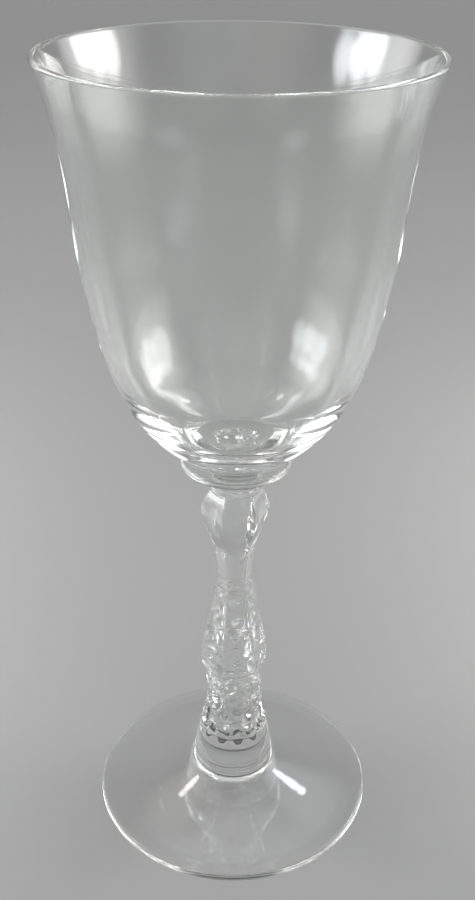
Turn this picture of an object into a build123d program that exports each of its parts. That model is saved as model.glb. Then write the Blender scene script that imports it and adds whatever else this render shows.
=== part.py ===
"""Stemmed water goblet in clear glass, in four pieces joined hot, end to end:
a spun foot, a pressed stem, a wafer and a blown bowl. Millimetres, +Z up,
with the origin at the middle of the plane that the foot stands on.
"""

import os
from math import cos, radians

from build123d import *

# Foot: a thin round plate that rises to a hub under the stem.
foot_radius = 37.3
foot_edge_thickness = 2.2
foot_rest_width = 4.0
foot_hollow_depth = 2.8
foot_edge_slope = 7.0
foot_top_slope = 22.0
foot_top_height = 8.9
hub_radius = 10.7
hub_root_round = 2.3
hub_wall_height = 1.0

# Stem: one pressed piece. Each stretch stands on the one before it.
base_wall_height = 1.6
dome_rise = 10.0
dome_lean = 15.0
dome_top_radius = 8.5
scallop_count = 12
scallop_radius = 1.2
scallop_reach = 8.9
barrel_length = 11.2
barrel_bottom_radius = 8.0
barrel_top_radius = 6.7
collar_length = 4.2
collar_waist_radius = 6.5
collar_radius = 7.15
lower_knop_under_length = 7.0
lower_knop_foot_radius = 6.9
lower_knop_radius = 8.9
lower_knop_over_length = 21.6
shoulder_radius = 4.7
shaft_length = 9.4
shaft_radius = 4.45
ridge_length = 2.3
ridge_radius = 4.95
upper_knop_under_length = 11.3
upper_knop_radius = 8.9
upper_knop_over_length = 6.2
neck_length = 6.8
neck_radius = 6.2
neck_flare = 0.3
neck_flare_height = 0.6
neck_ring_count = 2
neck_ring_pitch = 1.5
neck_ring_radius = 0.8
neck_ring_rise = 0.3
panel_count = 6
panel_corner_round = 0.7

# Beads and thumbprints, pressed into every panel of the stem.
bead_rise = 0.6
barrel_bead_up = 5.8
barrel_bead_radius = 1.5
jewel_up = 0.6
jewel_radius = 2.0
side_jewel_radius = 1.1
side_jewel_offset = 2.7
thumbprint_up = 7.0
thumbprint_ball_radius = 8.0
thumbprint_depth = 0.45
middle_bead_down = 8.0
middle_bead_radius = 1.7
top_bead_down = 2.2
top_bead_radius = 1.4

# Wafer: the disc between the neck and the bowl.
wafer_radius = 13.4
wafer_thickness = 2.0
wafer_edge_round = 0.8

# Bowl: each rise starts where the one before it ends, and the drop at the rim.
bowl_height = 94.2
bowl_seat_radius = 10.7
bowl_seat_slope = 40.0
bottom_rise = 9.4
bottom_radius = 21.1
belly_rise = 8.8
belly_radius = 26.9
side_rise = 24.0
side_radius = 33.8
flare_drop = 15.3
flare_radius = 38.6
rim_radius = 42.7
rim_flare = 19.0
lip_thickness = 1.4
flare_wall = 1.2
side_wall = 1.4
belly_wall = 2.1
bottom_wall = 4.4
bowl_floor = 5.4

# Heights in the foot, from the table up.
hub_side_height = foot_top_height + hub_root_round
hub_height = hub_side_height + hub_wall_height

# Heights in the stem, from its joint with the hub up.
dome_top_height = base_wall_height + dome_rise
barrel_top_height = dome_top_height + barrel_length
collar_top_height = barrel_top_height + collar_length
lower_knop_height = collar_top_height + lower_knop_under_length
shoulder_height = lower_knop_height + lower_knop_over_length
shaft_top_height = shoulder_height + shaft_length
ridge_height = shaft_top_height + ridge_length
upper_knop_height = ridge_height + upper_knop_under_length
neck_height = upper_knop_height + upper_knop_over_length
stem_length = neck_height + neck_length

# Heights in the bowl, from its joint with the wafer up.
belly_height = bottom_rise + belly_rise
side_height = belly_height + side_rise
lip_height = bowl_height - lip_thickness / 2
flare_height = lip_height - flare_drop

# Where each piece starts, from the table up.
stem_bottom = hub_height
wafer_bottom = stem_bottom + stem_length
bowl_bottom = wafer_bottom + wafer_thickness

# How the stem swells: the power of the curve from a widest section to an end,
# and the number of sections that it passes through.
FULL_SWELL = 2.0
LEAN_SWELL = 1.2
SWELL_SECTIONS = 5
FRONT_PANEL_ANGLE = -90.0

# Most of a wall that the rounding of one of its edges may take.
FULLEST_ROUND = 0.45


def direction(degrees):
    """Unit vector at an angle up from the outward direction."""
    return Vector(1, 0).rotate(Axis.Z, degrees)


def turned(outline):
    """Solid turned about the axis from a closed outline of radius and height."""
    return revolve(Plane.XZ * make_face(outline), Axis.Z)


def make_foot():
    """Plate with a rounded edge, a hollow underside, a slope and a hub."""
    edge_round = foot_edge_thickness / 2
    edge_radius = foot_radius - edge_round
    rest_radius = edge_radius - foot_rest_width
    hollow = (0, foot_hollow_depth)
    edge_top = (edge_radius, foot_edge_thickness)
    hub_root = (hub_radius + hub_root_round, foot_top_height)
    hub_side = (hub_radius, hub_side_height)
    hub_edge = (hub_radius, hub_height)
    uphill = direction(180 - foot_top_slope)
    return turned(
        [
            TangentArc(hollow, (rest_radius, 0), tangent=direction(0)),
            Line((rest_radius, 0), (edge_radius, 0)),
            ThreePointArc((edge_radius, 0), (foot_radius, edge_round), edge_top),
            Spline(edge_top, hub_root, tangents=[direction(180 - foot_edge_slope), uphill]),
            Spline(hub_root, hub_side, tangents=[uphill, direction(90)]),
            Line(hub_side, hub_edge),
            Line(hub_edge, (0, hub_height)),
            Line((0, hub_height), hollow),
        ]
    )


def swell(widest, end, power):
    """Sections, as radius and height, from the widest one to an end one."""
    shares = [step / SWELL_SECTIONS for step in range(SWELL_SECTIONS + 1)]
    return [
        (
            widest[0] + (end[0] - widest[0]) * share**power,
            widest[1] + (end[1] - widest[1]) * share,
        )
        for share in shares
    ]


def panel_outline(corner_radius, height):
    """Six-sided section of the stem with rounded corners, at a height."""
    outline = RegularPolygon(corner_radius, panel_count)
    return Pos(0, 0, height) * fillet(outline.vertices(), panel_corner_round)


def panelled(sections):
    """Solid with flat panels, through sections given as radius and height."""
    upward = sorted(sections, key=lambda section: section[1])
    return loft([panel_outline(radius, height) for radius, height in upward])


def panel_distance(sections, height):
    """Distance from the axis to the middle of a panel at a height."""
    upward = sorted(sections, key=lambda section: section[1])
    for (low_radius, low), (high_radius, high) in zip(upward, upward[1:]):
        if low <= height <= high:
            share = (height - low) / (high - low)
            corner_radius = low_radius + (high_radius - low_radius) * share
    return corner_radius * cos(radians(180 / panel_count))


def on_each_panel(shape):
    """Copies of a shape, which faces +X, one on each panel."""
    pitch = 360 / panel_count
    return [Rot(0, 0, FRONT_PANEL_ANGLE + pitch * panel) * shape for panel in range(panel_count)]


def bead(sections, height, radius, sideways=0.0):
    """Round bead that stands proud of a panel."""
    distance = panel_distance(sections, height) + bead_rise - radius
    return Pos(distance, sideways, height) * Sphere(radius)


def make_base():
    """Round base of the stem: a short wall, then a dome."""
    wall_top = (hub_radius, base_wall_height)
    dome_top = (dome_top_radius, dome_top_height)
    return turned(
        [
            Line((0, 0), (hub_radius, 0)),
            Line((hub_radius, 0), wall_top),
            Spline(wall_top, dome_top, tangents=[direction(90), direction(90 + dome_lean)]),
            Line(dome_top, (0, dome_top_height)),
            Line((0, dome_top_height), (0, 0)),
        ]
    )


def make_scallops():
    """Ring of beads where the dome meets the barrel."""
    ring = PolarLocations(
        scallop_reach - scallop_radius, scallop_count, start_angle=FRONT_PANEL_ANGLE
    )
    return [Pos(0, 0, dome_top_height) * place * Sphere(scallop_radius) for place in ring]


def make_collar():
    """Round collar between the barrel and the lower knop."""
    low = (collar_waist_radius, barrel_top_height)
    middle = (collar_radius, (barrel_top_height + collar_top_height) / 2)
    high = (collar_waist_radius, collar_top_height)
    return turned(
        [
            Line((0, barrel_top_height), low),
            ThreePointArc(low, middle, high),
            Line(high, (0, collar_top_height)),
            Line((0, collar_top_height), (0, barrel_top_height)),
        ]
    )


def make_neck():
    """Round neck with rings at its foot, flared where it meets the wafer."""
    neck = turned(
        [
            Polyline(
                (0, neck_height),
                (neck_radius, neck_height),
                (neck_radius, stem_length - neck_flare_height),
                (neck_radius + neck_flare, stem_length),
                (0, stem_length),
                (0, neck_height),
            )
        ]
    )
    ring = Torus(neck_radius + neck_ring_rise - neck_ring_radius, neck_ring_radius)
    for step in range(neck_ring_count):
        neck += Pos(0, 0, neck_height + neck_ring_pitch * (step + 0.5)) * ring
    return neck


def make_stem():
    """Pressed stem: base, barrel, collar, two knops, shaft and neck in one."""
    barrel = swell(
        (barrel_bottom_radius, dome_top_height), (barrel_top_radius, barrel_top_height), FULL_SWELL
    )
    lower_knop = (lower_knop_radius, lower_knop_height)
    lower_knop_under = swell(lower_knop, (lower_knop_foot_radius, collar_top_height), FULL_SWELL)
    lower_knop_over = swell(lower_knop, (shoulder_radius, shoulder_height), LEAN_SWELL)
    shaft = [(shaft_radius, shoulder_height), (shaft_radius, shaft_top_height)]
    ridge = [(shaft_radius, shaft_top_height), (ridge_radius, ridge_height)]
    upper_knop = (upper_knop_radius, upper_knop_height)
    upper_knop_under = swell(upper_knop, (ridge_radius, ridge_height), LEAN_SWELL)
    upper_knop_over = swell(upper_knop, (neck_radius, neck_height), FULL_SWELL)

    stem = make_base() + make_scallops() + panelled(barrel) + make_collar()
    stem += panelled(lower_knop_under + lower_knop_over[1:])
    stem += panelled(shaft)
    stem += panelled(ridge)
    stem += panelled(upper_knop_under + upper_knop_over[1:])
    stem += make_neck()

    print_height = lower_knop_height + thumbprint_up
    print_distance = panel_distance(lower_knop_over, print_height) - thumbprint_depth
    ball = Sphere(thumbprint_ball_radius)
    stem -= on_each_panel(Pos(print_distance + thumbprint_ball_radius, 0, print_height) * ball)

    jewel_height = lower_knop_height + jewel_up
    beads = [
        bead(barrel, dome_top_height + barrel_bead_up, barrel_bead_radius),
        bead(lower_knop_over, jewel_height, jewel_radius),
        bead(lower_knop_over, jewel_height, side_jewel_radius, side_jewel_offset),
        bead(lower_knop_over, jewel_height, side_jewel_radius, -side_jewel_offset),
        bead(lower_knop_over, shoulder_height - middle_bead_down, middle_bead_radius),
        bead(lower_knop_over, shoulder_height - top_bead_down, top_bead_radius),
    ]
    for one in beads:
        stem += on_each_panel(one)
    return Pos(0, 0, stem_bottom) * stem


def make_wafer():
    """Flat disc with a rounded edge, between the neck and the bowl."""
    disc = Cylinder(wafer_radius, wafer_thickness, align=(Align.CENTER, Align.CENTER, Align.MIN))
    edge_round = min(wafer_edge_round, wafer_thickness * FULLEST_ROUND)
    disc = fillet(disc.edges().filter_by(GeomType.CIRCLE), edge_round)
    return Pos(0, 0, wafer_bottom) * disc


def make_bowl():
    """Blown bowl: a bell that flares to a rounded lip, thick at its floor."""
    lip_outside = (rim_radius, lip_height)
    lip_top = (rim_radius - lip_thickness / 2, bowl_height)
    lip_inside = (rim_radius - lip_thickness, lip_height)
    outside = Spline(
        (bowl_seat_radius, 0),
        (bottom_radius, bottom_rise),
        (belly_radius, belly_height),
        (side_radius, side_height),
        (flare_radius, flare_height),
        lip_outside,
        tangents=[direction(bowl_seat_slope), direction(90 - rim_flare)],
    )
    inside = Spline(
        lip_inside,
        (flare_radius - flare_wall, flare_height),
        (side_radius - side_wall, side_height),
        (belly_radius - belly_wall, belly_height),
        (bottom_radius - bottom_wall, bottom_rise),
        (0, bowl_floor),
        tangents=[direction(-90 - rim_flare), direction(180)],
    )
    return Pos(0, 0, bowl_bottom) * turned(
        [
            Line((0, 0), (bowl_seat_radius, 0)),
            outside,
            ThreePointArc(lip_outside, lip_top, lip_inside),
            inside,
            Line((0, bowl_floor), (0, 0)),
        ]
    )


pieces = {
    "foot": make_foot(),
    "stem": make_stem(),
    "wafer": make_wafer(),
    "bowl": make_bowl(),
}

os.makedirs("parts", exist_ok=True)
for name, solid in pieces.items():
    export_step(solid, os.path.join("parts", name + ".step"))
    print(name, "volume", round(solid.volume), "solids", len(solid.solids()))
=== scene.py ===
import math

import bmesh
import bpy
from mathutils import Matrix, Vector


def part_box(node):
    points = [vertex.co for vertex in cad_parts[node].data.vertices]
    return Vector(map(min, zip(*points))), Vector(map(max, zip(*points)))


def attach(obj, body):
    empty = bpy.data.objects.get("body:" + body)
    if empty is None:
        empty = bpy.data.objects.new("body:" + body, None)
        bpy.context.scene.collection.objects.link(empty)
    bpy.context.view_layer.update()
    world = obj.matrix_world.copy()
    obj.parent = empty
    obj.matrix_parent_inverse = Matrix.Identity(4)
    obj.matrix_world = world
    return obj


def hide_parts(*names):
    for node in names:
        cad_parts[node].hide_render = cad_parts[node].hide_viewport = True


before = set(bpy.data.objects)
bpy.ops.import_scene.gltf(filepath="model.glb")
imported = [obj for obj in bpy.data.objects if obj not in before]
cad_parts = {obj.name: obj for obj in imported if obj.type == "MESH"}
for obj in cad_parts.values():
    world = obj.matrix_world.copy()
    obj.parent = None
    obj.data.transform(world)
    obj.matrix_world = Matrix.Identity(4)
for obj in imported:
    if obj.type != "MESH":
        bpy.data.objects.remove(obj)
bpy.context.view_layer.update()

# The foot is a thin round plate of clear glass, spun out hot from a small gather and polished in
# the flame, so that faint rings of the spinning stay in it. It stands on a narrow ring round a
# shallow hollow, and the stem is stuck hot to the hub in its middle.
foot_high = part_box("foot")[1]
foot_radius = foot_high.x
hub_top = foot_high.z
hub_radius = 0.0107
hub_wall_height = 0.0010
hub_root_round = 0.0023
foot_top_slope = 22
foot_edge_slope = 7
foot_edge_thickness = 0.0022
foot_rest_width = 0.0040
foot_hollow_depth = 0.0028
joint_round = 0.00025

SECTION_STEPS = 24
SPIN_STEPS = 288
SECTORS = 6
MERGE_DISTANCE = 1e-6
FLAT_LIMIT = 1e-6
SHARP_ANGLE = math.radians(35)
FUSED = 1
scene = bpy.context.scene


def heading(degrees):
    """Unit vector in a half section, at an angle up from outward."""
    return Vector((math.cos(math.radians(degrees)), 0, math.sin(math.radians(degrees))))


def is_headed(knot):
    """Whether a knot of a half section says how the line runs through it."""
    return len(knot) > 2


def half_section(name, knots):
    """Bezier half section of a turned piece, as a mesh of edges. A knot is a radius and a height,
    then the heading of the line there, or two headings at a corner, or none to follow the rest."""
    curve = bpy.data.curves.new(name, "CURVE")
    curve.dimensions = "3D"
    curve.resolution_u = SECTION_STEPS
    spline = curve.splines.new("BEZIER")
    spline.bezier_points.add(len(knots) - 1)
    points = spline.bezier_points
    for point, knot in zip(points, knots):
        point.co = (knot[0], 0, knot[1])
        kind = "FREE" if is_headed(knot) else "AUTO"
        point.handle_left_type = kind
        point.handle_right_type = kind
    for start, end, first, last in zip(points[:], points[1:], knots, knots[1:]):
        chord = (end.co - start.co).length
        both = is_headed(first) and is_headed(last)
        turn = math.radians(last[2] - first[-1]) if both else 0
        # Handles of this length make an arc where the two headings are those of one.
        reach = chord / 3 / math.cos(turn / 4) ** 2
        if is_headed(first):
            start.handle_right = start.co + heading(first[-1]) * reach
        if is_headed(last):
            end.handle_left = end.co - heading(last[2]) * reach
    holder = bpy.data.objects.new(name, curve)
    chain = bpy.data.meshes.new_from_object(holder)
    bpy.data.objects.remove(holder)
    bpy.data.curves.remove(curve)
    return chain


def spun(chain, steps):
    """Body turned about the axis from a half section: one sector is spun, then repeated."""
    body = bmesh.new()
    body.from_mesh(chain)
    bpy.data.meshes.remove(chain)
    sector = math.tau / SECTORS
    bmesh.ops.spin(
        body,
        geom=body.verts[:] + body.edges[:],
        cent=(0, 0, 0),
        axis=(0, 0, 1),
        angle=sector,
        steps=steps // SECTORS,
    )
    first = body.verts[:] + body.edges[:] + body.faces[:]
    for turn in range(1, SECTORS):
        copied = bmesh.ops.duplicate(body, geom=first)["geom"]
        verts = [item for item in copied if isinstance(item, bmesh.types.BMVert)]
        onward = Matrix.Rotation(sector * turn, 3, "Z")
        bmesh.ops.rotate(body, verts=verts, cent=(0, 0, 0), matrix=onward)
    bmesh.ops.remove_doubles(body, verts=body.verts[:], dist=MERGE_DISTANCE)
    bmesh.ops.recalc_face_normals(body, faces=body.faces[:])
    return body


def fuse(body, height, radius):
    """Marks the flat disc at a height, out to a radius, as fused to the next piece."""
    for face in body.faces:
        flat = all(abs(vert.co.z - height) < FLAT_LIMIT for vert in face.verts)
        if flat and face.calc_center_median().xy.length < radius:
            face.material_index = FUSED


def add_piece(body, name, node, glass):
    """Puts a finished body in the scene in place of a solid of the frame."""
    for face in body.faces:
        face.smooth = True
    for edge in body.edges:
        edge.smooth = edge.calc_face_angle(0) < SHARP_ANGLE
    mesh = bpy.data.meshes.new(name)
    body.to_mesh(mesh)
    body.free()
    mesh.materials.append(glass)
    mesh.materials.append(fused_joint)
    piece = bpy.data.objects.new(name, mesh)
    scene.collection.objects.link(piece)
    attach(piece, "root")
    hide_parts(node)
    return piece


def add_node(owner, kind, **inputs):
    """Shader node of a kind, with plain values or other nodes' outputs on its inputs."""
    node = owner.node_tree.nodes.new(kind)
    for name, value in inputs.items():
        socket = node.inputs[name.replace("_", " ")]
        if isinstance(value, bpy.types.NodeSocket):
            owner.node_tree.links.new(value, socket)
        else:
            socket.default_value = value
    return node


def new_material(name):
    """Material with one Principled shader, and that shader."""
    material = bpy.data.materials.new(name)
    material.use_nodes = True
    return material, material.node_tree.nodes["Principled BSDF"]


GLASS_IOR = 1.52
CLEAR_TINT = (0.985, 0.992, 0.986, 1)
FAINT_TINT = (0.955, 0.970, 0.958, 1)
TINT_SCALE = 60
TINT_DETAIL = 2
SMUDGE_SCALE = 90
SMUDGE_DETAIL = 4
SMUDGE_START = 0.55
SMUDGE_END = 0.80
SMUDGE_ROUGHNESS = 0.02


def cloudy(material, place, scale, detail):
    """Soft uneven pattern, from 0 to 1."""
    noise = add_node(material, "ShaderNodeTexNoise", Vector=place, Scale=scale, Detail=detail)
    return noise.outputs["Fac"]


def clear_glass(name, wave, wave_depth):
    """Colourless glass: a tint and a polish that are faintly uneven, and a wave in its surface.
    The wave is a function that makes its own pattern from the material and its coordinates."""
    material, shader = new_material(name)
    links = material.node_tree.links
    place = add_node(material, "ShaderNodeTexCoord").outputs["Object"]
    shader.inputs["Transmission Weight"].default_value = 1
    shader.inputs["IOR"].default_value = GLASS_IOR
    cloud = cloudy(material, place, TINT_SCALE, TINT_DETAIL)
    tint = add_node(material, "ShaderNodeValToRGB", Fac=cloud)
    tint.color_ramp.elements[0].color = CLEAR_TINT
    tint.color_ramp.elements[1].color = FAINT_TINT
    links.new(tint.outputs["Color"], shader.inputs["Base Color"])
    polish = add_node(
        material,
        "ShaderNodeMapRange",
        Value=cloudy(material, place, SMUDGE_SCALE, SMUDGE_DETAIL),
        From_Min=SMUDGE_START,
        From_Max=SMUDGE_END,
        To_Min=0,
        To_Max=SMUDGE_ROUGHNESS,
    )
    links.new(polish.outputs["Result"], shader.inputs["Roughness"])
    bump = add_node(
        material, "ShaderNodeBump", Height=wave(material, place), Strength=1, Distance=wave_depth
    )
    links.new(bump.outputs["Normal"], shader.inputs["Normal"])
    return material


spin_ring_scale = 110
spin_ring_waver = 0.6
spin_ring_detail = 1
spin_ring_depth = 0.000007


def spin_rings(material, place):
    """Fine rings round the axis, left by the spinning."""
    rings = add_node(
        material,
        "ShaderNodeTexWave",
        Vector=place,
        Scale=spin_ring_scale,
        Distortion=spin_ring_waver,
        Detail=spin_ring_detail,
    )
    rings.wave_type = "RINGS"
    rings.rings_direction = "Z"
    return rings.outputs["Fac"]


# Where two pieces meet hot, the glass runs into one and light goes straight through, so the faces
# of a joint are clear to nothing.
fused_joint, fused_shader = new_material("fused_joint")
fused_shader.inputs["Alpha"].default_value = 0

foot_edge_round = foot_edge_thickness / 2
foot_edge_radius = foot_radius - foot_edge_round
foot_rest_radius = foot_edge_radius - foot_rest_width
hub_side_height = hub_top - hub_wall_height
hub_root_height = hub_side_height - hub_root_round
hollow_heading = 180 - 2 * math.degrees(math.atan2(foot_hollow_depth, foot_rest_radius))

foot = spun(
    half_section(
        "foot_section",
        [
            (0, hub_top, 0),
            (hub_radius - joint_round, hub_top, 0),
            (hub_radius, hub_top - joint_round, -90),
            (hub_radius, hub_side_height, -90),
            (hub_radius + hub_root_round, hub_root_height, -foot_top_slope),
            (foot_edge_radius, foot_edge_thickness, -foot_edge_slope),
            (foot_radius, foot_edge_round, -90),
            (foot_edge_radius, 0, -180),
            (foot_rest_radius, 0, -180, hollow_heading),
            (0, foot_hollow_depth, 180),
        ],
    ),
    SPIN_STEPS,
)
fuse(foot, hub_top, hub_radius)
spun_glass = clear_glass("spun_glass", spin_rings, spin_ring_depth)
spun_foot = add_piece(foot, "spun_foot", "foot", spun_glass)


def let_light_through(piece):
    """Thin clear glass hardly shades the table, so it is left out of the light that falls there."""
    piece.visible_shadow = False
    piece.visible_diffuse = False


let_light_through(spun_foot)

# The stem is one piece of clear glass pressed in a six-part mould: a domed base with a scalloped
# ledge, a beaded barrel, a collar, a jewelled lower knop, a shaft, an upper knop and a ringed
# neck. The flame softens every edge, and the two ends are stuck hot to the hub and the wafer.
stem_low, stem_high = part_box("stem")
stem_bottom = stem_low.z
stem_length = stem_high.z - stem_low.z
base_wall_height = 0.0016
dome_rise = 0.0100
dome_top_radius = 0.0085
barrel_length = 0.0112
barrel_bottom_radius = 0.0080
barrel_top_radius = 0.0067
collar_length = 0.0042
collar_waist_radius = 0.0065
collar_radius = 0.00715
lower_knop_under_length = 0.0070
lower_knop_foot_radius = 0.0069
lower_knop_radius = 0.0089
lower_knop_over_length = 0.0216
shoulder_radius = 0.0047
shaft_length = 0.0094
shaft_radius = 0.00445
ridge_length = 0.0023
ridge_radius = 0.00495
upper_knop_under_length = 0.0113
upper_knop_radius = 0.0089
upper_knop_over_length = 0.0062
neck_radius = 0.0062
neck_flare = 0.0003
neck_flare_height = 0.0006
panel_count = 6
panel_corner_power = 60
front_panel_angle = -math.pi / 2

dome_top_height = base_wall_height + dome_rise
barrel_top_height = dome_top_height + barrel_length
collar_middle_height = barrel_top_height + collar_length / 2
collar_top_height = barrel_top_height + collar_length
lower_knop_height = collar_top_height + lower_knop_under_length
shoulder_height = lower_knop_height + lower_knop_over_length
shaft_top_height = shoulder_height + shaft_length
ridge_height = shaft_top_height + ridge_length
upper_knop_height = ridge_height + upper_knop_under_length
neck_height = upper_knop_height + upper_knop_over_length
flare_start_height = stem_length - neck_flare_height
neck_end_radius = neck_radius + neck_flare

FULL_SWELL = 2.0
LEAN_SWELL = 1.2
ROUND = 0
PANELLED = 1

# Each stretch of the stem: where it ends, the radius it starts and ends with, which of the two is
# the fuller one, how it swells, and whether it is round or panelled.
stem_stretches = [
    (base_wall_height, hub_radius, hub_radius, "start", FULL_SWELL, ROUND),
    (dome_top_height, hub_radius, dome_top_radius, "start", LEAN_SWELL, ROUND),
    (barrel_top_height, barrel_bottom_radius, barrel_top_radius, "start", FULL_SWELL, PANELLED),
    (collar_middle_height, collar_waist_radius, collar_radius, "end", FULL_SWELL, ROUND),
    (collar_top_height, collar_radius, collar_waist_radius, "start", FULL_SWELL, ROUND),
    (lower_knop_height, lower_knop_foot_radius, lower_knop_radius, "end", FULL_SWELL, PANELLED),
    (shoulder_height, lower_knop_radius, shoulder_radius, "start", LEAN_SWELL, PANELLED),
    (shaft_top_height, shaft_radius, shaft_radius, "start", FULL_SWELL, PANELLED),
    (ridge_height, shaft_radius, ridge_radius, "end", FULL_SWELL, PANELLED),
    (upper_knop_height, ridge_radius, upper_knop_radius, "end", LEAN_SWELL, PANELLED),
    (neck_height, upper_knop_radius, neck_radius, "start", FULL_SWELL, PANELLED),
    (flare_start_height, neck_radius, neck_radius, "start", FULL_SWELL, ROUND),
    (stem_length, neck_radius, neck_end_radius, "start", FULL_SWELL, ROUND),
]


def blank(height):
    """Corner radius of the stem at a height above the hub, and whether it is panelled."""
    low = 0
    for high, first, last, fuller, power, panelled in stem_stretches:
        if height < high + FLAT_LIMIT:
            break
        low = high
    share = min(max((height - low) / (high - low), 0), 1)
    if fuller == "start":
        return first + (last - first) * share**power, panelled
    return last + (first - last) * (1 - share) ** power, panelled


panel_pitch = math.tau / panel_count


def panel_share(angle):
    """Radius of a six-sided section with soft corners, against that of its corners."""
    reach = 0
    for panel in range(panel_count):
        facing = math.cos(angle - front_panel_angle - panel * panel_pitch)
        reach += max(facing, 0) ** panel_corner_power
    return math.cos(panel_pitch / 2) / reach ** (1 / panel_corner_power)


# What the mould presses into each panel: the height above the hub, whether it is on the panel's
# middle line or on its corners, the half width and half height, and how far it stands out or in.
ON_MIDDLE = "middle"
ON_CORNER = "corner"
barrel_bead_height = 0.0170
jewel_height = lower_knop_height + 0.0006
thumbprint_height = 0.0403
lower_bead_height = 0.0472
upper_bead_height = 0.0532
lug_height = 0.0652
oval_height = 0.0775
panel_relief = [
    (barrel_bead_height, ON_MIDDLE, 0.0014, 0.0013, 0.0005),
    (barrel_bead_height, ON_CORNER, 0.0012, 0.0012, 0.0004),
    (jewel_height, ON_MIDDLE, 0.0015, 0.0015, 0.0005),
    (thumbprint_height, ON_MIDDLE, 0.0032, 0.0040, -0.0008),
    (lower_bead_height, ON_MIDDLE, 0.0015, 0.0014, 0.0006),
    (upper_bead_height, ON_MIDDLE, 0.0013, 0.0013, 0.0005),
    (lug_height, ON_CORNER, 0.0014, 0.0017, 0.0004),
    (oval_height, ON_MIDDLE, 0.0029, 0.0050, -0.0003),
]

# Each panel of the barrel has an arch with a raised border, whose width is a share of the arch.
arch_height = 0.0212
arch_half_width = 0.0029
arch_half_height = 0.0035
arch_rise = 0.0004
arch_border = 0.28

# The ledge over the dome is scalloped: its edge goes up and down once for each lobe.
ledge_lobes = 12
ledge_wave = 0.00045
ledge_reach = 0.0030

# What goes right round the stem: the height above the hub, the half height, how far it stands out
# or in, and how many beads it is made of, where it is not a plain ring.
PLAIN = 0
base_groove_height = 0.0020
first_ledge_ring_height = dome_top_height + 0.0011
second_ledge_ring_height = dome_top_height + 0.0020
collar_bead_height = 0.0262
collar_bead_count = 18
under_jewel_ring_height = 0.0311
over_jewel_ring_height = 0.0374
shoulder_ring_height = 0.0554
first_neck_ring_height = neck_height + 0.00075
second_neck_ring_height = neck_height + 0.00225
ring_relief = [
    (base_groove_height, 0.0005, -0.0002, PLAIN),
    (dome_top_height, 0.0009, 0.0003, PLAIN),
    (first_ledge_ring_height, 0.0005, 0.0002, PLAIN),
    (second_ledge_ring_height, 0.0005, 0.0002, PLAIN),
    (collar_bead_height, 0.0008, 0.00025, collar_bead_count),
    (under_jewel_ring_height, 0.0007, 0.0003, PLAIN),
    (over_jewel_ring_height, 0.0006, 0.0003, PLAIN),
    (shoulder_ring_height, 0.0009, 0.0004, PLAIN),
    (first_neck_ring_height, 0.0007, 0.0003, PLAIN),
    (second_neck_ring_height, 0.0007, 0.0003, PLAIN),
]

BEAD_FULLNESS = 0.8


def cap(distance):
    """Rise of a soft bead, from 1 in its middle to 0 at its edge."""
    return (1 - distance**2) ** BEAD_FULLNESS if distance < 1 else 0


def relief(angle, height, radius):
    """How far the stem's ornament stands out, or in, at an angle and a height."""
    off_middle = (angle - front_panel_angle + panel_pitch / 2) % panel_pitch - panel_pitch / 2
    beside = radius * math.sin(off_middle)
    off_corner = radius * math.sin(panel_pitch / 2 - abs(off_middle))
    rise = 0
    for middle, spot, half_width, half_height, proud in panel_relief:
        if abs(height - middle) < half_height:
            across = off_corner if spot == ON_CORNER else beside
            rise += proud * cap(math.hypot(across / half_width, (height - middle) / half_height))
    outward = math.hypot(beside / arch_half_width, (height - arch_height) / arch_half_height)
    rise += arch_rise * cap(abs(outward - 1) / arch_border)
    for middle, half_height, proud, beads in ring_relief:
        if abs(height - middle) < half_height:
            beading = (1 + math.cos(beads * (angle - front_panel_angle))) / 2
            rise += proud * cap(abs(height - middle) / half_height) * beading
    return rise


STEM_ROWS = 326
STEM_SPIN_STEPS = 240
POLISH_STRENGTH = 0.5

line = bpy.data.meshes.new("stem_line")
mould = bmesh.new()
line_ends = [mould.verts.new((hub_radius, 0, height)) for height in (0, stem_length)]
mould.edges.new(line_ends)
bmesh.ops.subdivide_edges(mould, edges=mould.edges[:], cuts=STEM_ROWS - 1)
mould.to_mesh(line)
mould.free()
stem = spun(line, STEM_SPIN_STEPS)
for vert in stem.verts:
    angle = math.atan2(vert.co.y, vert.co.x)
    height = vert.co.z
    to_ledge = cap(abs(height - dome_top_height) / ledge_reach)
    wave = ledge_wave * to_ledge * math.cos(ledge_lobes * (angle - front_panel_angle))
    radius, panelled = blank(height)
    if panelled:
        radius *= panel_share(angle)
    radius += relief(angle, height, radius)
    vert.co = (radius * math.cos(angle), radius * math.sin(angle), height + wave)
between_ends = [vert for vert in stem.verts if FLAT_LIMIT < vert.co.z < stem_length - FLAT_LIMIT]
bmesh.ops.smooth_vert(
    stem,
    verts=between_ends,
    factor=POLISH_STRENGTH,
    use_axis_x=True,
    use_axis_y=True,
    use_axis_z=True,
)
open_edges = [edge for edge in stem.edges if edge.is_boundary]
bmesh.ops.holes_fill(stem, edges=open_edges, sides=0)
bmesh.ops.translate(stem, verts=stem.verts[:], vec=(0, 0, stem_bottom))
bmesh.ops.recalc_face_normals(stem, faces=stem.faces[:])
fuse(stem, stem_bottom, hub_radius)
fuse(stem, stem_bottom + stem_length, hub_radius)

mould_grain_scale = 260
mould_grain_detail = 2
mould_grain_depth = 0.000010


def mould_grain(material, place):
    """Faint unevenness of a surface that was chilled against iron."""
    return cloudy(material, place, mould_grain_scale, mould_grain_detail)


pressed_glass = clear_glass("pressed_glass", mould_grain, mould_grain_depth)
add_piece(stem, "pressed_stem", "stem", pressed_glass)

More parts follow.
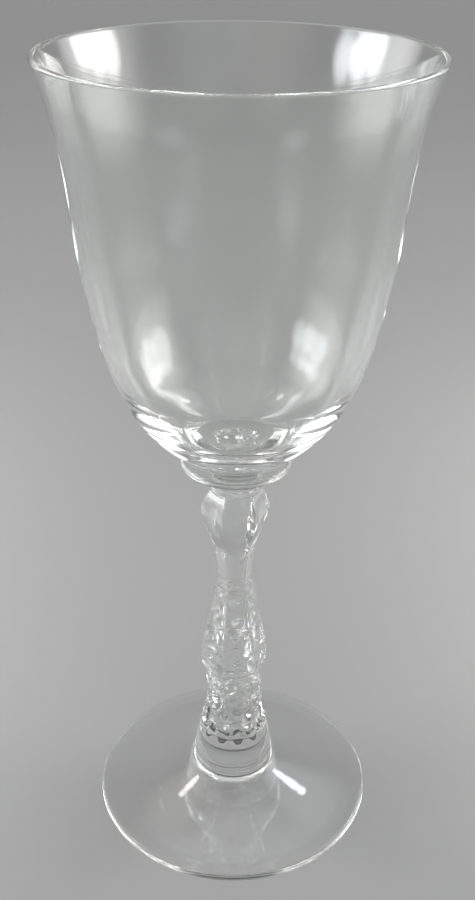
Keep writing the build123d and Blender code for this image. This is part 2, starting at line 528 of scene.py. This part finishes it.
# The wafer is a small flat disc of the same glass, set hot on the neck so that the bowl has a
# seat. Its edge runs round in the flame.
wafer_low, wafer_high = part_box("wafer")
wafer_bottom = wafer_low.z
wafer_top = wafer_high.z
wafer_radius = wafer_high.x
wafer_edge_round = 0.0008
bowl_seat_radius = 0.0107

wafer = spun(
    half_section(
        "wafer_section",
        [
            (0, wafer_top, 0),
            (bowl_seat_radius, wafer_top, 0),
            (wafer_radius - wafer_edge_round, wafer_top, 0),
            (wafer_radius, wafer_top - wafer_edge_round, -90),
            (wafer_radius, wafer_bottom + wafer_edge_round, -90),
            (wafer_radius - wafer_edge_round, wafer_bottom, -180),
            (neck_end_radius, wafer_bottom, -180),
            (0, wafer_bottom, -180),
        ],
    ),
    SPIN_STEPS,
)
fuse(wafer, wafer_top, bowl_seat_radius)
fuse(wafer, wafer_bottom, neck_end_radius)
add_piece(wafer, "joining_wafer", "wafer", pressed_glass)

# The bowl is a bell of clear glass, blown into a mould with wide panels that show faintly inside,
# then drawn out to a thin wall and a rounded lip. The glass stays thickest in its floor.
bowl_low, bowl_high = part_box("bowl")
bowl_bottom = bowl_low.z
bowl_top = bowl_high.z
rim_radius = bowl_high.x
bowl_seat_slope = 40
bowl_floor = 0.0054
bottom_height = 0.0094
bottom_radius = 0.0211
bottom_wall = 0.0044
belly_height = 0.0182
belly_radius = 0.0269
belly_wall = 0.0021
side_height = 0.0422
side_radius = 0.0338
side_wall = 0.0014
flare_height = 0.0782
flare_radius = 0.0386
flare_wall = 0.0012
rim_flare = 19
lip_thickness = 0.0014
lip_height = bowl_top - lip_thickness / 2

bowl = spun(
    half_section(
        "bowl_section",
        [
            (0, bowl_bottom, 0),
            (bowl_seat_radius, bowl_bottom, 0, bowl_seat_slope),
            (bottom_radius, bowl_bottom + bottom_height),
            (belly_radius, bowl_bottom + belly_height),
            (side_radius, bowl_bottom + side_height),
            (flare_radius, bowl_bottom + flare_height),
            (rim_radius, lip_height, 90 - rim_flare),
            (rim_radius - lip_thickness / 2, bowl_top, 180),
            (rim_radius - lip_thickness, lip_height, 270 - rim_flare),
            (flare_radius - flare_wall, bowl_bottom + flare_height),
            (side_radius - side_wall, bowl_bottom + side_height),
            (belly_radius - belly_wall, bowl_bottom + belly_height),
            (bottom_radius - bottom_wall, bowl_bottom + bottom_height),
            (0, bowl_bottom + bowl_floor, 180),
        ],
    ),
    SPIN_STEPS,
)

# The panels of the mould meet in soft ridges, which rise and fade up the inside of the wall.
optic_count = 12
optic_depth = 0.00018
optic_ridge_width = math.radians(8)
optic_low = 0.022
optic_full = 0.042
optic_fade = 0.062
optic_high = 0.088
optic_turn = math.radians(-9)
optic_pitch = math.tau / optic_count


def ease(value, start, end):
    """0 before the start, 1 after the end, and a soft rise between."""
    share = min(max((value - start) / (end - start), 0), 1)
    return share * share * (3 - 2 * share)


bowl.normal_update()
for vert in bowl.verts:
    inside = vert.normal.x * vert.co.x + vert.normal.y * vert.co.y < 0
    if inside:
        height = vert.co.z - bowl_bottom
        angle = math.atan2(vert.co.y, vert.co.x) - optic_turn
        off_ridge = (angle + optic_pitch / 2) % optic_pitch - optic_pitch / 2
        depth = optic_depth * ease(height, optic_low, optic_full)
        depth *= 1 - ease(height, optic_fade, optic_high)
        depth *= math.exp(-((off_ridge / optic_ridge_width) ** 2))
        push = 1 - depth / vert.co.xy.length
        vert.co.x *= push
        vert.co.y *= push
fuse(bowl, bowl_bottom, bowl_seat_radius)

blown_wave_scale = 28
blown_wave_detail = 1
blown_wave_depth = 0.00003


def blown_wave(material, place):
    """Slow unevenness that the blowing leaves in the wall."""
    return cloudy(material, place, blown_wave_scale, blown_wave_detail)


blown_glass = clear_glass("blown_glass", blown_wave, blown_wave_depth)
blown_bowl = add_piece(bowl, "blown_bowl", "bowl", blown_glass)
let_light_through(blown_bowl)

# The floor is a plain pale table top of matt paper, wide enough that no view reaches its edge. It
# lies a hair below the foot, so that the two faces do not mix.
floor_half = 40.0
floor_gap = 0.0003
floor_colour = (0.37, 0.37, 0.37, 1)
floor_roughness = 0.9
floor_gloss = 0.1
floor_mesh = bpy.data.meshes.new("floor")
plate = bmesh.new()
bmesh.ops.create_grid(plate, x_segments=1, y_segments=1, size=floor_half)
plate.to_mesh(floor_mesh)
plate.free()
floor_paper, floor_shader = new_material("floor_paper")
floor_shader.inputs["Base Color"].default_value = floor_colour
floor_shader.inputs["Roughness"].default_value = floor_roughness
floor_shader.inputs["Specular IOR Level"].default_value = floor_gloss
floor_mesh.materials.append(floor_paper)
floor = bpy.data.objects.new("floor", floor_mesh)
floor.location.z = -floor_gap
scene.collection.objects.link(floor)

# The light is a dim studio with a tall pale panel on each side of the glass, a soft box before each
# panel and one over the table there. Round glows put the highlights on the foot and in the bowl.
camera_swing = -9
surround = bpy.data.worlds.new("surround")
scene.world = surround
surround.use_nodes = True
backdrop = surround.node_tree.nodes["Background"]
outlook = add_node(surround, "ShaderNodeTexCoord").outputs["Generated"]
upward = add_node(surround, "ShaderNodeSeparateXYZ", Vector=outlook).outputs["Z"]
shade = add_node(surround, "ShaderNodeValToRGB", Fac=upward)

# How bright the surround is at a height above the horizon, as a sine.
surround_shades = [(0, 0.24), (0.1, 0.24), (0.3, 0.05), (0.75, 0.05), (0.9, 0.6)]
while len(shade.color_ramp.elements) < len(surround_shades):
    shade.color_ramp.elements.new(1)
for element, (sine, level) in zip(shade.color_ramp.elements, surround_shades):
    element.position = sine
    element.color = (level, level, level, 1)


def work_out(owner, operation, *values):
    """Result of a Math node on plain values or other nodes' outputs."""
    node = owner.node_tree.nodes.new("ShaderNodeMath")
    node.operation = operation
    for socket, value in zip(node.inputs, values):
        if isinstance(value, bpy.types.NodeSocket):
            owner.node_tree.links.new(value, socket)
        else:
            socket.default_value = value
    return node.outputs["Value"]


def soft_step(owner, value, start, end):
    """Soft rise from 0 at the start to 1 at the end."""
    step = add_node(
        owner, "ShaderNodeMapRange", Value=value, From_Min=start, From_Max=end, To_Min=0, To_Max=1
    )
    step.interpolation_type = "SMOOTHSTEP"
    return step.outputs["Result"]


def nearness(azimuth, elevation):
    """Cosine of the angle to a place in the surround, whose azimuth is clockwise from straight
    behind the glass, as the camera sees it."""
    turn = math.radians(azimuth - camera_swing)
    rise = math.radians(elevation)
    ahead = math.cos(turn) * math.cos(rise)
    node = surround.node_tree.nodes.new("ShaderNodeVectorMath")
    node.operation = "DOT_PRODUCT"
    surround.node_tree.links.new(outlook, node.inputs[0])
    node.inputs[1].default_value = (math.sin(turn) * math.cos(rise), ahead, math.sin(rise))
    return node.outputs["Value"]


def add_light(light, share, strength, colour):
    """Light of the surround with more of a colour in it, by a share that varies over it."""
    more = surround.node_tree.nodes.new("ShaderNodeVectorMath")
    more.operation = "MULTIPLY_ADD"
    surround.node_tree.links.new(share, more.inputs[0])
    more.inputs[1].default_value = [strength * channel for channel in colour]
    surround.node_tree.links.new(light, more.inputs[2])
    return more.outputs["Vector"]


WHITE = (1.0, 1.0, 1.0)
COOL = (0.93, 0.97, 1.0)
WARM = (1.0, 0.97, 0.92)

# The panels' edges, each from where the light starts to where it is full: the first two as angles
# from straight behind the glass, the last as a sine above the horizon.
panel_back_edge = (math.radians(44), math.radians(50))
panel_front_edge = (math.radians(122), math.radians(104))
panel_top_edge = (0.76, 0.62)
panel_strength = 0.75
sideways = work_out(surround, "ABSOLUTE", nearness(90, 0))
from_behind = work_out(surround, "ARCTAN2", sideways, nearness(0, 0))
panels = work_out(
    surround,
    "MULTIPLY",
    soft_step(surround, from_behind, *panel_back_edge),
    soft_step(surround, from_behind, *panel_front_edge),
)
panels = work_out(surround, "MULTIPLY", panels, soft_step(surround, upward, *panel_top_edge))
light = add_light(shade.outputs["Color"], panels, panel_strength, WHITE)

# Each glow: its azimuth and elevation, how far it spreads, its strength and its colour.
glows = [
    (-58, 56, 3.2, 14, WARM),
    (-62, 54, 18, 1.5, WARM),
    (49, 47, 4.2, 16, COOL),
    (52, 46, 20, 2.0, COOL),
    (-110, 17, 9, 6.5, COOL),
    (-98, 16, 9, 8, COOL),
    (-86, 16, 9, 6.5, COOL),
    (67, 15, 9, 6.5, WARM),
    (79, 15, 9, 8, WARM),
    (91, 16, 9, 6.5, WARM),
    (-160, 30, 30, 0.45, WARM),
    (160, 30, 30, 0.45, COOL),
]
for azimuth, elevation, spread, strength, colour in glows:
    glow = soft_step(surround, nearness(azimuth, elevation), math.cos(math.radians(spread)), 1)
    light = add_light(light, glow, strength, colour)
surround.node_tree.links.new(light, backdrop.inputs["Color"])

BOX_MIDDLE = 0.5
BOX_EDGE = 0.4
swing = Matrix.Rotation(math.radians(camera_swing), 3, "Z")


def add_box(name, place, aim, width, height, power, spread):
    """Rectangular lamp that fades towards its edges, placed as seen from the camera."""
    lamp = bpy.data.lights.new(name, "AREA")
    lamp.shape = "RECTANGLE"
    lamp.size = width
    lamp.size_y = height
    lamp.energy = power
    lamp.spread = spread
    lamp.use_nodes = True
    face = add_node(lamp, "ShaderNodeNewGeometry").outputs["Parametric"]
    across = add_node(lamp, "ShaderNodeSeparateXYZ", Vector=face)
    fade = 1
    for axis in "XY":
        from_edge = work_out(lamp, "PINGPONG", across.outputs[axis], BOX_MIDDLE)
        fade = work_out(lamp, "MULTIPLY", fade, soft_step(lamp, from_edge, 0, BOX_EDGE))
    lamp.node_tree.links.new(fade, lamp.node_tree.nodes["Emission"].inputs["Strength"])
    box = bpy.data.objects.new(name, lamp)
    box.location = swing @ Vector(place)
    box.rotation_mode = "QUATERNION"
    box.rotation_quaternion = (swing @ (Vector(place) - Vector(aim))).to_track_quat("Z", "Y")
    box.visible_camera = False
    scene.collection.objects.link(box)
    return box


side_box_out = 0.62
side_box_back = 0.20
side_box_middle = 0.32
side_box_aim = 0.19
side_box_width = 0.90
side_box_height = 0.60
side_box_power = 3.0
side_box_spread = math.radians(140)
table_box_out = 0.24
table_box_back = 0.06
table_box_over = 0.34
table_box_width = 0.16
table_box_length = 0.50
table_box_power = 0.7
table_box_spread = math.radians(75)
for side, name in ((-1, "left"), (1, "right")):
    add_box(
        name + "_box",
        (side * side_box_out, side_box_back, side_box_middle),
        (0, side_box_back, side_box_aim),
        side_box_width,
        side_box_height,
        side_box_power,
        side_box_spread,
    )
    table_box = add_box(
        name + "_table_box",
        (side * table_box_out, table_box_back, table_box_over),
        (side * table_box_out, table_box_back, 0),
        table_box_width,
        table_box_length,
        table_box_power,
        table_box_spread,
    )
    table_box.visible_glossy = False

# The camera stands above and in front of the glass, so close that the glass tapers downwards in the
# picture. It is swung a little off the front panel of the stem, and hardly rolled.
camera_distance = 0.24101
camera_height = 0.24011
camera_pitch = math.radians(28.828)
camera_roll = math.radians(0.607)
camera_yaw = math.radians(0.085)
camera_lens = 45.38
camera_sensor = 36
lens = bpy.data.cameras.new("camera")
lens.lens = camera_lens
lens.sensor_width = camera_sensor
camera = bpy.data.objects.new("camera", lens)
ahead = Vector((0, math.cos(camera_pitch), -math.sin(camera_pitch)))
look = Matrix.Rotation(-camera_yaw, 3, "Z") @ ahead
level = look.cross(Vector((0, 0, 1))).normalized()
above = level.cross(look)
right = level * math.cos(camera_roll) + above * math.sin(camera_roll)
up = above * math.cos(camera_roll) - level * math.sin(camera_roll)
pose = Matrix((right, up, -look)).transposed().to_4x4()
pose.translation = (0, -camera_distance, camera_height)
camera.matrix_world = swing.to_4x4() @ pose
scene.collection.objects.link(camera)
scene.camera = camera
scene.view_settings.view_transform = "Standard"

# Light goes to and fro many times inside the glass before it comes out, and crosses clear joints.
glass_bounces = 256
joint_crossings = 64
scene.cycles.max_bounces = glass_bounces
scene.cycles.transmission_bounces = glass_bounces
scene.cycles.glossy_bounces = glass_bounces
scene.cycles.transparent_max_bounces = joint_crossings
scene.cycles.caustics_refractive = False
scene.cycles.caustics_reflective = False
